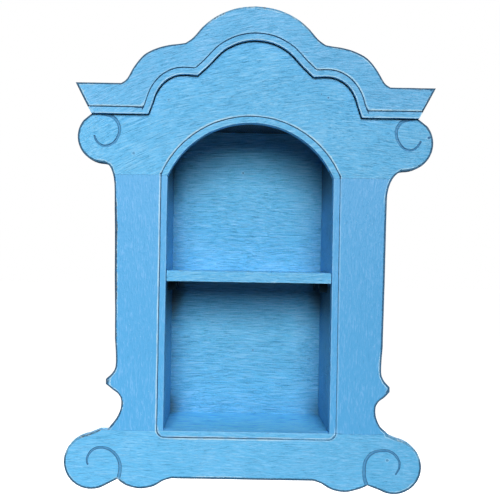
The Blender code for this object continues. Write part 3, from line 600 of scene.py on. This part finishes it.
def steel_material(name, seed):
    """Zinc-plated steel, dulled, with a few rust spots."""
    s = settings().steel
    material = bpy.data.materials.new(name)
    tree = Tree(material)
    place = tree.moved(tree.add("TexCoord", out=3), (seed, seed, seed))
    cloud = tree.noise(place, 160.0, 3.0, 0.6)
    spots = tree.step(tree.noise(place, 420.0, 2.0, 0.6), 0.60, 0.68)
    colour = tree.mix(tree.step(cloud, 0.3, 0.7), times(s.colour, 0.75), s.colour)
    colour = tree.mix(tree.product(spots, 0.8), colour, s.rust)
    rough = tree.scale_add(tree.centred(cloud), 0.35, s.roughness)
    rough = tree.math("MULTIPLY_ADD", spots, 0.35, rough, clamp=True)
    tree.surface(colour, rough, cloud, 0.0002, strength=0.4, metal=1.0)
    return material


# Boards


def solid_copy(node):
    """The node's solid as an editable mesh of whole flat faces."""
    shape = bmesh.new()
    shape.from_mesh(NODES[node].data)
    bmesh.ops.remove_doubles(shape, verts=shape.verts, dist=MERGED)
    flat = math.radians(FLAT_BELOW)
    bmesh.ops.dissolve_limit(shape, angle_limit=flat, verts=shape.verts, edges=shape.edges)
    return shape


def looks_forward(face):
    return face.normal.y < -0.995


def sunken(edge, front):
    """True for the free edge of a routed step's lower face."""
    return any(looks_forward(f) and f.calc_center_median().y > front + 0.0010 for f in edge.link_faces)


def shallow(edge, front):
    """True for an edge of a carved groove, whose faces go less deep than the step round the opening."""
    return max(v.co.y for f in edge.link_faces for v in f.verts) < front + 0.0020


def stepped(edge, front):
    """True for the raised edge of a routed step."""
    walls = [f for f in edge.link_faces if abs(f.normal.y) < 0.5]
    return any(max(v.co.y for v in f.verts) < front + 0.0030 for f in walls)


def at_joint(edge):
    """True for an edge along a joint between two boards of the face frame."""
    ends = [v.co for v in edge.verts]
    middle = (ends[0] + ends[1]) / 2
    if max(c.y for c in ends) > FRAME_BACK + 1e-4 or abs(middle.x) < -STILE_INSIDE:
        return False
    return any(all(abs(c.z - level) < JOINT_REACH for c in ends) for level in (SPRING, SILL))


def bend(edge):
    """The turn at an edge in degrees: positive where the solid's edge stands out, negative in a corner."""
    return math.degrees(edge.calc_face_angle_signed(0.0)) if len(edge.link_faces) == 2 else 0.0


def sorted_edges(shape, front, worn, framed):
    """The board's sharp edges by kind: raised, inner and outer ones stand out, a foot lies in a corner."""
    sharp = [e for e in shape.edges if SHARP[0] < abs(bend(e)) < SHARP[1]]
    seams = [e for e in sharp if at_joint(e)]
    sharp = [e for e in sharp if not at_joint(e)]
    grooves = [e for e in sharp if shallow(e, front)]
    reached = [e for e in sharp if worn(*(v.co for v in e.verts)) and not shallow(e, front)]
    convex = [e for e in reached if bend(e) > 0]
    raised = [e for e in convex if stepped(e, front)]
    inner = [e for e in convex if e not in raised and framed and sunken(e, front)]
    outer = [e for e in convex if e not in raised and e not in inner]
    feet = [e for e in reached if bend(e) < 0]
    return {"seam": seams, "groove": grooves, "raised": raised, "inner": inner, "outer": outer, "foot": feet}


def segments(edges):
    return np.array([[tuple(v.co) for v in e.verts] for e in edges], float).reshape(-1, 2, 3)


def gaps(points, lines):
    """Each point's distance to the nearest line, in metres and at most FAR."""
    nearest = np.full(len(points), FAR)
    for a, b in lines:
        run = b - a
        share_along = np.clip((points - a) @ run / max(run @ run, 1e-12), 0, 1)
        away = points - a - share_along[:, None] * run
        nearest = np.minimum(nearest, np.sqrt((away**2).sum(1)))
    return nearest


def eased(shape, edges, radius, steps):
    if edges:
        bmesh.ops.bevel(
            shape, geom=edges, offset=radius, segments=steps, profile=0.5, affect="EDGES", clamp_overlap=True
        )


def divided(shape, cell):
    """Cuts the whole surface by three sets of parallel planes."""
    for axis in range(3):
        places = [v.co[axis] for v in shape.verts]
        low, high = min(places), max(places)
        for i in range(1, math.ceil((high - low) / cell)):
            normal = Vector((0, 0, 0))
            normal[axis] = 1
            everything = shape.verts[:] + shape.edges[:] + shape.faces[:]
            place = normal * (low + i * cell)
            bmesh.ops.bisect_plane(shape, geom=everything, plane_co=place, plane_no=normal, dist=ON_PLANE)


def banded(shape, width):
    """Cuts a narrow band off every cell that looks forward, along the edges where it turns away."""
    rims = [e for e in shape.edges if sum(looks_forward(f) for f in e.link_faces) == 1]
    for edge in rims:
        a, b = (v.co.copy() for v in edge.verts)
        along = b - a
        if along.length < 1e-5:
            continue
        for face in [f for f in edge.link_faces if looks_forward(f)]:
            inward = Vector((along.z, 0, -along.x)).normalized()
            middle = (a + b) / 2
            if inward.dot(face.calc_center_median() - middle) < 0:
                inward.negate()
            geometry = [face, *face.edges, *face.verts]
            place = middle + inward * width
            bmesh.ops.bisect_plane(shape, geom=geometry, plane_co=place, plane_no=inward, dist=ON_PLANE)


def touches(face, place, reach):
    """True where the face's bounds come within reach of the place, seen from the front."""
    xs, zs = [v.co.x for v in face.verts], [v.co.z for v in face.verts]
    return min(xs) - reach < place.x < max(xs) + reach and min(zs) - reach < place.z < max(zs) + reach


def scored(shape, lines):
    """Cuts what looks forward along each line and a little below it, so that the painted shadow under the
    cornice has points to lie on.
    """
    for a, b in lines:
        a, b = Vector(a), Vector(b)
        across = Vector((b.z - a.z, 0, a.x - b.x)).normalized()
        if across.z > 0:
            across.negate()
        for aside in (0.0, SCORE_REACH):
            middle = (a + b) / 2 + across * aside
            near = (b - a).length / 2 + SCORE_REACH
            faces = [f for f in shape.faces if looks_forward(f) and touches(f, middle, near)]
            edges = dict.fromkeys(e for f in faces for e in f.edges)
            geometry = [*faces, *edges, *dict.fromkeys(v for f in faces for v in f.verts)]
            bmesh.ops.bisect_plane(shape, geom=geometry, plane_co=middle, plane_no=across, dist=ON_PLANE)


def ripple(co, scale, row):
    """A pull on the point that changes smoothly over the board's front, different for each row."""
    return noise.noise_vector(Vector((co.x * scale, row, co.z * scale)))


def hand_worked(points, wobble, hollow):
    """Moves the points a little, as a saw and a plane guided by hand leave them."""
    noise.seed_set(SAW_SEED)
    for co in points:
        slow, quick, flat = ripple(co, 24, 3.1), ripple(co, 110, 7.7), ripple(co, 9, 1.3)
        co.x += wobble * (slow.x + 0.4 * quick.x)
        co.z += wobble * (slow.z + 0.4 * quick.z)
        co.y += hollow * flat.y


def finished_mesh(node, shape):
    mesh = bpy.data.meshes.new("dressed_" + node)
    shape.to_mesh(mesh)
    shape.free()
    mesh.shade_smooth()
    mesh.set_sharp_from_angle(angle=math.radians(SMOOTH_BELOW))
    return mesh


def smooth(values, low, high):
    t = np.clip((values - low) / (high - low), 0, 1)
    return t * t * (3 - 2 * t)


def rubbed(points, places):
    """How much more the edge is rubbed near each place."""
    total = np.zeros(len(points))
    for x, z, reach, strength in places:
        away = (points[:, 0] - x) ** 2 + (points[:, 2] - z) ** 2
        total += strength * np.exp(-away / reach**2)
    return total


def edge_darkening(points):
    """How strongly the outer edges are darkened, partly as painted shade: less on the hump and the lower
    scrolls' backs.
    """
    x, z = np.abs(points[:, 0]), points[:, 2]
    backs = (np.abs(z - SILL + 0.022) < 0.026) & (x > 0.245)
    return (1 - 0.55 * smooth(z, HUMP, HUMP + 0.030)) * np.where(backs, 0.45, 1)


def right_of_niche(points):
    """1 to the right of the niche's middle and below the arch, 0 elsewhere."""
    return smooth(points[:, 0], 0.02, 0.10) * (1 - smooth(points[:, 2], SPRING - 0.01, SPRING + 0.01))


def step_wear_and_light(points):
    """How much white shows along the routed step, partly worn undercoat and partly painted highlight: most at
    the left and round the arch.
    """
    over_arch = smooth(points[:, 2], ARCH_TOP + 0.020, ARCH_TOP + 0.040)
    less = over_arch * (0.75 - 0.55 * smooth(points[:, 0], 0.07, 0.11))
    return (1 - 0.70 * right_of_niche(points)) * (1 - less)


def paint_maps(points, front, lines, framed, spared):
    """What the paint has to know at each point of a board's surface. The gaps come in millimetres."""
    near = {kind: gaps(points, ends) for kind, ends in lines.items()}
    deep = points[:, 1] - front
    far = np.full(len(points), FAR)
    past_rim, old = near["outer"] + KEPT / 2, np.zeros(len(points))
    if framed:
        past_rim = np.maximum(near["outer"] - settings().work.rim, 0) + KEPT
        old = 1 - 0.2 * smooth(deep, 0.004, 0.012)
        old = old * (near["outer"] < np.minimum(near["raised"], near["inner"]))
    seam = near["seam"] + 0.0018 + 0.005 * (near["inner"] < STEP_BAND)
    distances = {
        "step_gap": near["raised"],
        "foot_gap": near["foot"] if framed else far,
        "edge_gap": np.minimum(past_rim, near["inner"] + spared * KEPT),
        "lip_gap": near["inner"],
        "rim_gap": near["outer"] if framed else far,
        "crease_gap": np.minimum(near["foot"] + 0.0007 * right_of_niche(points), seam),
        "contact_gap": near["cornice_shadow"],
        "groove_gap": near["groove"],
    }
    return {name: gap * 1000 for name, gap in distances.items()} | {
        "step_wear_and_light": step_wear_and_light(points),
        "coat": edge_darkening(points),
        "old": old,
        "sunk": smooth(deep, 0.0014, 0.0020) * (deep < 0.0026) * (points[:, 2] < SILL + 0.010),
        "carved": smooth(deep, 0.0006, 0.0014) * (near["groove"] < 0.0032) * (deep < 0.0020),
    }


def bare_behind(mesh, last):
    """Gives the rear the second material, or the last one, painted shade, where it lies inside the box."""
    rear = max(v.co.y for v in mesh.vertices)
    for face in mesh.polygons:
        if face.normal.y > 0.9 and face.center.y > rear - 0.004:
            within = abs(face.center.x) < -BOX_SIDE and BOX_FOOT < face.center.z < BOX_TOP
            face.material_index = last if within else 1


def everywhere(a, b):
    return True


def nowhere(a, b):
    return False


def near_front(depth):
    return lambda a, b: max(a.y, b.y) < depth


def unshaded(points):
    return np.zeros(len(points))


# Painted shade all over, for the bearers under the shelf
def shaded_all_over(points):
    return np.ones(len(points))


def board(node, materials, worn, painted_shade=unshaded, body=CARCASS, places=(), touching=(), framed=False, spared=2.0):
    """The node's board, dressed. worn tells of an edge's two ends whether a hand or cloth reaches it.

    touching has the lines where the cornice's lower edge lies on the board behind it. framed boards show the
    old coat along their outer edges, and keep KEPT times spared more paint on the opening's edges.
    """
    work = settings().work
    shape = solid_copy(node)
    front = min(v.co.y for v in shape.verts)
    edges = sorted_edges(shape, front, worn, framed)
    lines = {kind: segments(found) for kind, found in edges.items()} | {"cornice_shadow": touching}
    eased(shape, edges["outer"], work.round if framed else work.ease, 3)
    eased(shape, [e for e in edges["raised"] + edges["inner"] if e.is_valid], work.ease, 2)
    divided(shape, work.cell)
    if framed:
        banded(shape, work.band)
    if node == "crest_board":
        scored(shape, touching)
    points = np.array([v.co for v in shape.verts], float)
    hand_worked([v.co for v in shape.verts], work.wobble, work.hollow)
    mesh = finished_mesh(node, shape)
    maps = paint_maps(points, front, lines, framed, spared)
    for name, values in (maps | {"rub": rubbed(points, places), "painted_shade": painted_shade(points)}).items():
        mesh.attributes.new(name, "FLOAT", "POINT").data.foreach_set("value", values.astype(np.float32))
    for material in materials:
        mesh.materials.append(material)
    if len(materials) > 1:
        bare_behind(mesh, len(materials) - 1)
    piece = bpy.data.objects.new("dressed_" + node, mesh)
    bpy.context.scene.collection.objects.link(piece)
    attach(piece, body)
    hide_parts(node)
    normals = piece.modifiers.new("flat faces kept flat", "WEIGHTED_NORMAL")
    normals.keep_sharp = True


def contact_lines(node):
    """The lower part of a board's rear outline, where it lies on the one behind it."""
    shape = solid_copy(node)
    rear = max(v.co.y for v in shape.verts)
    at_rear = [e for e in shape.edges if all(v.co.y > rear - 1e-4 for v in e.verts)]
    slopes = [max((f.normal.z for f in e.link_faces if f.normal.y < 0.5), default=1) for e in at_rear]
    lines = segments([e for e, slope in zip(at_rear, slopes) if slope < 0.05])
    shape.free()
    return lines


# Painted shade


def under(level):
    """Darkens what faces down at a level, as painted shade."""
    return lambda points: (points[:, 2] < level + 1e-4).astype(float)


def beside_walls(points):
    """Painted shade on the back, next to the side walls and under the shelf."""
    x, z = points[:, 0], points[:, 2]
    strength = np.where(x < 0, 0.44, 0.30) + 0.14 * smooth(z, SPRING - 0.050, SPRING - 0.005)
    beside = strength * (1 - smooth(WALL - np.abs(x), 0.0, 0.036))
    under_shelf = 0.50 * (1 - smooth(SHELF_FOOT - z, 0.020, 0.120)) * (z < SHELF_FOOT)
    foot = 0.26 * (1 - smooth(z, SILL + 0.012, SILL + 0.060))
    return np.minimum(1, beside + under_shelf + foot)


def floor_corners(points):
    """Painted shade on the floor of the niche, next to the side walls and at the back."""
    beside = 0.45 * (1 - smooth(WALL - np.abs(points[:, 0]), 0.0, 0.030))
    return np.minimum(1, beside + 0.10 * smooth(points[:, 1], BACK - 0.060, BACK))


def within_walls(points):
    """Painted shade on the side walls by height: most under the arch and under the shelf."""
    heights, shade_and_grime = zip(*WALL_SHADE)
    inside = np.abs(points[:, 0]) < WALL + 2e-4
    return np.interp(points[:, 2], heights, shade_and_grime) * inside


# Small parts


def cut_out(piece, cutter):
    """The piece's mesh with the cutter taken out of it. The cutter is used up."""
    taken = piece.modifiers.new("cut", "BOOLEAN")
    taken.operation, taken.solver, taken.object = "DIFFERENCE", "EXACT", cutter
    worked = piece.evaluated_get(bpy.context.evaluated_depsgraph_get())
    mesh = bpy.data.meshes.new_from_object(worked)
    piece.modifiers.remove(taken)
    bpy.data.objects.remove(cutter)
    return mesh


def driver_slot(mesh, turn):
    """A bar across the wide end of a screw, as deep as its slot."""
    points = np.array([v.co for v in mesh.vertices], float)
    low, high = points.min(0), points.max(0)
    axis = int(np.argmax(high - low))
    centre = (low + high) / 2
    from_axis = points - centre
    from_axis[:, axis] = 0
    reach = np.sqrt((from_axis**2).sum(1))
    widest = points[int(np.argmax(reach))][axis]
    centre[axis] = low[axis] if abs(widest - low[axis]) < abs(widest - high[axis]) else high[axis]
    radius = reach.max()
    shape = bmesh.new()
    bmesh.ops.create_cube(shape, size=1)
    sizes = Vector((0.34 * radius, 2.8 * radius, 0.44 * radius))
    across = Vector((0, 0, 0))
    across[axis] = 1
    place = across.to_track_quat("Z", "Y") @ Euler((0, 0, turn)).to_quaternion()
    for v in shape.verts:
        v.co = place @ Vector(a * b for a, b in zip(v.co, sizes)) + Vector(centre)
    bar = bpy.data.meshes.new("slot")
    shape.to_mesh(bar)
    shape.free()
    return bpy.data.objects.new("slot", bar)


def fitting(node, material, ease, turn=None):
    """The node's small part with broken edges, and a slot across a screw's head."""
    shape = solid_copy(node)
    eased(shape, [e for e in shape.edges if abs(bend(e)) > FITTING_SHARP], ease, 2)
    piece = bpy.data.objects.new("dressed_" + node, finished_mesh(node, shape))
    bpy.context.scene.collection.objects.link(piece)
    if turn is not None:
        cutter = driver_slot(piece.data, turn)
        bpy.context.scene.collection.objects.link(cutter)
        piece.data = cut_out(piece, cutter)
    piece.data.materials.clear()
    piece.data.materials.append(material)
    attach(piece, CARCASS)
    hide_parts(node)


# Stage


def area_light(name, place, target, size, strength):
    """A square-cornered soft lamp whose light at its target is strength times what makes white white."""
    data = bpy.data.lights.new(name, "AREA")
    data.shape = "RECTANGLE"
    data.size, data.size_y = size
    away = Vector(target) - Vector(place)
    data.energy = strength * math.pi * math.pi * away.length_squared
    lamp = bpy.data.objects.new(name, data)
    lamp.location = place
    lamp.rotation_euler = away.to_track_quat("-Z", "Y").to_euler()
    bpy.context.scene.collection.objects.link(lamp)


def studio_world(strength):
    """White where the camera looks and where steel mirrors what is behind; a faint even light otherwise."""
    world = bpy.data.worlds.new("studio")
    bpy.context.scene.world = world
    tree = Tree(world)
    rays = tree.rays()
    behind = tree.step(tree.parts(tree.add("TexCoord", out=0))[1], 0.1, 0.6, 0.0, 0.8)
    mirrored = tree.most(rays["Is Glossy Ray"], rays["Is Transmission Ray"])
    level = tree.most(tree.product(mirrored, behind), strength, rays["Is Camera Ray"])
    background = tree.add("Background", {"Color": (1, 1, 1, 1), "Strength": level})
    tree.add("OutputWorld", {"Surface": background})


def floor_material():
    """Pale to the camera, with the cupboard's shadow kept; dull to the light that it sends back up."""
    material = bpy.data.materials.new("pale_floor")
    tree = Tree(material)
    rays = tree.rays()
    place = tree.add("TexCoord", out=3)
    seen = tree.most(rays["Is Camera Ray"], rays["Is Transmission Ray"])
    bright = tree.scale_add(seen, 0.60, tree.scale_add(tree.noise(place, 3.0, 3.0), 0.03, 0.12))
    far = tree.step(tree.add("VectorMath", {0: place}, 1, operation="LENGTH"), 2.0, 4.5, 0.90, 1.0)
    dull = tree.add("BsdfDiffuse", {"Color": tree.add("CombineColor", {0: bright, 1: bright, 2: bright})})
    glow = tree.add("Emission", {"Color": (1, 1, 1, 1), "Strength": tree.product(seen, far)})
    tree.add("OutputMaterial", {"Surface": tree.add("AddShader", {0: dull, 1: glow})})
    return material


class CUPBOARD_OT_stage(Operator):
    """Camera, lamps, world and floor"""

    bl_idname = "cupboard.stage"
    bl_label = "Stage"

    def execute(self, context):
        s = settings().stage
        foot = CAD_BOX[0][2]
        camera = bpy.data.cameras.new("camera")
        camera.sensor_width = 36.0
        camera.lens = camera.sensor_width * s.distance / s.frame_width
        turn = math.cos(s.roll), math.sin(s.roll)
        aim = (-s.across, -s.height)
        camera.shift_x = (aim[0] * turn[0] - aim[1] * turn[1]) / s.frame_width + s.shift_across
        camera.shift_y = (aim[0] * turn[1] + aim[1] * turn[0]) / s.frame_width + s.shift_up
        camera.clip_start = 0.05
        camera.clip_end = 200
        eye = bpy.data.objects.new("camera", camera)
        eye.location = (s.across, FACE - s.distance, s.height)
        eye.rotation_euler = Euler((math.pi / 2, -s.roll, 0), "XYZ")
        context.scene.collection.objects.link(eye)
        context.scene.camera = eye
        context.scene.view_settings.view_transform = "Standard"

        area_light("key", (0.0, FACE - 5.0, 1.92), (0, FACE, 0), (3.9, 2.5), s.key)
        area_light("low", (-0.10, FACE - 0.38, foot - 0.56), (0, FACE, foot), (0.9, 0.25), s.low)
        area_light("rear_left", (-2.2, 2.6, 1.0), (0, -0.1, 0), (1.6, 1.6), s.rear)
        area_light("rear_right", (2.2, 2.6, 1.0), (0, -0.1, 0), (1.6, 1.6), s.rear)
        studio_world(s.fill)

        shape = bmesh.new()
        bmesh.ops.create_grid(shape, x_segments=12, y_segments=12, size=30)
        mesh = bpy.data.meshes.new("floor")
        shape.to_mesh(mesh)
        shape.free()
        mesh.materials.append(floor_material())
        floor = bpy.data.objects.new("floor", mesh)
        floor.location.z = foot - s.floor_drop
        context.scene.collection.objects.link(floor)
        return {"FINISHED"}


# The cupboard's pieces


class CUPBOARD_OT_face_frame(Operator):
    """Crest, stiles and bottom rail round the arched opening"""

    bl_idname = "cupboard.face_frame"
    bl_label = "Face frame"

    def execute(self, context):
        worn = near_front(FACE + 0.004)
        pine = wood_material("pine_frame", "X", 2.0)
        # Painted shade: the boards' rear faces inside the box are made nearly black
        dark = shade_material("shaded_inside")
        lines = contact_lines("cornice_board")
        board("crest_board", (paint_material("crest"), pine, dark), worn, touching=lines, framed=True)
        for word in SIDES:
            materials = paint_material(f"{word}_stile"), wood_material(f"pine_{word}_stile", "Z", 5.0), dark
            board(f"{word}_stile", materials, worn, places=STILE_CHIPS if word == "left" else (), framed=True)
        board("bottom_rail", (paint_material("rail"), pine, dark), worn, framed=True)
        return {"FINISHED"}


class CUPBOARD_OT_cornice(Operator):
    """Humped cornice with its routed step"""

    bl_idname = "cupboard.cornice"
    bl_label = "Cornice"

    def execute(self, context):
        materials = paint_material("cornice"), wood_material("pine_cornice", "X", 7.0)
        lines = contact_lines("cornice_board")
        board("cornice_board", materials, near_front(FACE - 0.006), touching=lines, framed=True, spared=1.1)
        return {"FINISHED"}


class CUPBOARD_OT_box(Operator):
    """Sides, top, floor and back of the box"""

    bl_idname = "cupboard.box"
    bl_label = "Box"

    def execute(self, context):
        # The box's inner faces get painted shade in the corners, under the shelf and the arch, and under the
        # top board
        for word in SIDES:
            paint = paint_material(f"{word}_side")
            board(f"{word}_side", (paint,), everywhere, within_walls, places=SIDE_RUB)
        pine = wood_material("pine_back", "Z", 11.0)
        board("back_panel", (paint_material("back"), pine), nowhere, beside_walls)
        board("top_board", (paint_material("top"),), nowhere, under(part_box("top_board")[0].z))
        board("floor_board", (paint_material("floor"),), nowhere, floor_corners)
        return {"FINISHED"}


class CUPBOARD_OT_shelf(Operator):
    """Loose shelf and the two bearers under it"""

    bl_idname = "cupboard.shelf"
    bl_label = "Shelf"

    def execute(self, context):
        # Painted shade on the shelf's underside and all over the bearers
        foot = under(SHELF_FOOT)
        board("shelf", (paint_material("shelf"),), everywhere, foot, body="shelf", places=SHELF_RUB)
        for word in SIDES:
            board(f"{word}_bearer", (paint_material(f"{word}_bearer"),), nowhere, shaded_all_over)
        return {"FINISHED"}


class CUPBOARD_OT_blocks(Operator):
    """Glue blocks and dowels of bare pine"""

    bl_idname = "cupboard.blocks"
    bl_label = "Blocks and dowels"

    def execute(self, context):
        for name in sorted(NODES):
            if name.startswith(("glue_block", "dowel")):
                along = "X" if name.endswith(("top", "bottom")) else "Z"
                pine = wood_material("pine_" + name, along, len(name) * 1.7)
                fitting(name, pine, 0.0008 if "block" in name else 0.0004)
        return {"FINISHED"}


class CUPBOARD_OT_steel(Operator):
    """Screws, nails and hanger plates"""

    bl_idname = "cupboard.steel"
    bl_label = "Steel"

    def execute(self, context):
        for i, name in enumerate(sorted(NODES)):
            if name.startswith(("screw", "nail", "hanger")):
                turn = i * 1.9 if name.startswith("screw") else None
                fitting(name, steel_material("steel_" + name, i * 0.37), 0.00025, turn)
        return {"FINISHED"}


class CUPBOARD_PT_panel(Panel):
    """The cupboard's settings and steps"""

    bl_label = "Wall cupboard"
    bl_space_type = "VIEW_3D"
    bl_region_type = "UI"
    bl_category = "Cupboard"

    def draw(self, context):
        groups = context.scene.cupboard
        for step in STEPS:
            self.layout.operator(step.bl_idname)
        for group in ("paint", "wood", "steel", "work", "stage"):
            box = self.layout.box()
            box.label(text=group.capitalize())
            held = getattr(groups, group)
            for key in type(held).__annotations__:
                box.prop(held, key)


STEPS = (
    CUPBOARD_OT_stage,
    CUPBOARD_OT_face_frame,
    CUPBOARD_OT_cornice,
    CUPBOARD_OT_box,
    CUPBOARD_OT_shelf,
    CUPBOARD_OT_blocks,
    CUPBOARD_OT_steel,
)
CLASSES = (
    PaintSettings,
    WoodSettings,
    SteelSettings,
    WorkSettings,
    StageSettings,
    CupboardSettings,
    *STEPS,
    CUPBOARD_PT_panel,
)


def register():
    for cls in CLASSES:
        bpy.utils.register_class(cls)
    bpy.types.Scene.cupboard = PointerProperty(type=CupboardSettings)


def unregister():
    del bpy.types.Scene.cupboard
    for cls in reversed(CLASSES):
        bpy.utils.unregister_class(cls)


def main():
    register()
    for step in STEPS:
        group, name = step.bl_idname.split(".")
        getattr(getattr(bpy.ops, group), name)()


if __name__ == "__main__":
    main()
